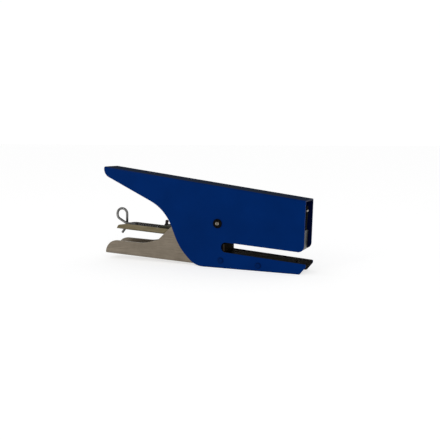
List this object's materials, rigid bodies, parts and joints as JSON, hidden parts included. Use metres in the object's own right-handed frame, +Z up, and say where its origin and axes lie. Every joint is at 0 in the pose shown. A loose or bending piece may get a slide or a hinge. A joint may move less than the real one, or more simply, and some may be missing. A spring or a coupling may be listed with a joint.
{
  "type": "plier stapler",
  "caption": "Hand-operated plier stapler: folded blue steel body with handle tail and anvil arm, squeeze lever, pivoting staple magazine, driver blade and a wire ring on its loading rod.",
  "frame": {"origin": "centre of the bounding box's bottom face, under the anvil arm's lower edge", "axes": "+X along the stapler towards the head, +Y across it, +Z up from the anvil arm to the spine"},
  "size_m": [0.1586, 0.0222, 0.0706],
  "materials": {
    "body_paint": "satin enamel",
    "dark_steel": "dark oiled steel",
    "anvil_steel": "blackened hardened steel",
    "lever_steel": "nickel-plated pressed steel",
    "magazine_steel": "yellowish zinc-plated steel",
    "nose_steel": "ground steel",
    "wire_steel": "drawn wire",
    "spring_steel": "spring wire",
    "staple_wire": "bright wire",
    "pusher_steel": "formed steel",
    "bump_brown": "dark brown",
    "spool_nylon": "natural nylon",
    "buffer_rubber": "black rubber"
  },
  "bodies": {
    "body": {"body_shell": "body_paint", "anvil_arm": "dark_steel", "anvil_plate": "anvil_steel", "anvil_rivet": "anvil_steel", "arm_rivets": "body_paint", "pivot_sleeve": "dark_steel", "pivot_screw": "dark_steel", "spring_spool": "spool_nylon", "return_spring": "spring_steel", "stop_buffer": "buffer_rubber"},
    "lever": {"lever_channel": "lever_steel", "driver_arm": "lever_steel", "arm_joint_rivets": "lever_steel", "spring_pin": "lever_steel"},
    "magazine": {"magazine_channel": "magazine_steel", "nose_plate": "nose_steel", "nose_rivets": "magazine_steel", "staple_core": "nose_steel", "core_rivets": "magazine_steel", "spring_saddle": "magazine_steel", "magazine_spring": "spring_steel", "bump_stop": "bump_brown", "staple_strip": "staple_wire"},
    "driver": {"driver_blade": "nose_steel"},
    "loading_rod": {"loading_rod": "wire_steel", "rod_collar": "wire_steel", "rod_tip": "wire_steel", "follower_spring": "spring_steel"},
    "pusher": {"pusher": "pusher_steel"}
  },
  "joints": [
    {"name": "lever_hinge", "type": "hinge", "parent": "body", "child": "lever", "pos_m": [0.01475, 0, 0.0318], "axis": [0, 1, 0], "range_deg": [0, 14.1], "stiffness_Nm_per_rad": 1.2, "springref_deg": -14.32, "deforming": ["return_spring", "magazine_spring"]},
    {"name": "magazine_hinge", "type": "hinge", "parent": "body", "child": "magazine", "pos_m": [0.01475, 0, 0.0318], "axis": [0, 1, 0], "range_deg": [0, 7.25]},
    {"name": "driver_slide", "type": "slide", "parent": "magazine", "child": "driver", "axis": [-0.0541, 0, -0.9985], "range_m": [0, 0.00725]},
    {"name": "loading_rod_slide", "type": "slide", "parent": "magazine", "child": "loading_rod", "axis": [-0.9985, 0, 0.0541], "range_m": [0, 0.11]},
    {"name": "pusher_slide", "type": "slide", "parent": "loading_rod", "child": "pusher", "axis": [-0.9985, 0, 0.0541], "range_m": [0, 0.045], "stiffness_N_per_m": 40, "springref_m": -0.03, "deforming": ["follower_spring"]}
  ],
  "couplings": [
    {"joint": "magazine_hinge", "follows": "lever_hinge", "ratio": 0.51064},
    {"joint": "driver_slide", "follows": "lever_hinge", "m_per_rad": 0.029379}
  ]
}
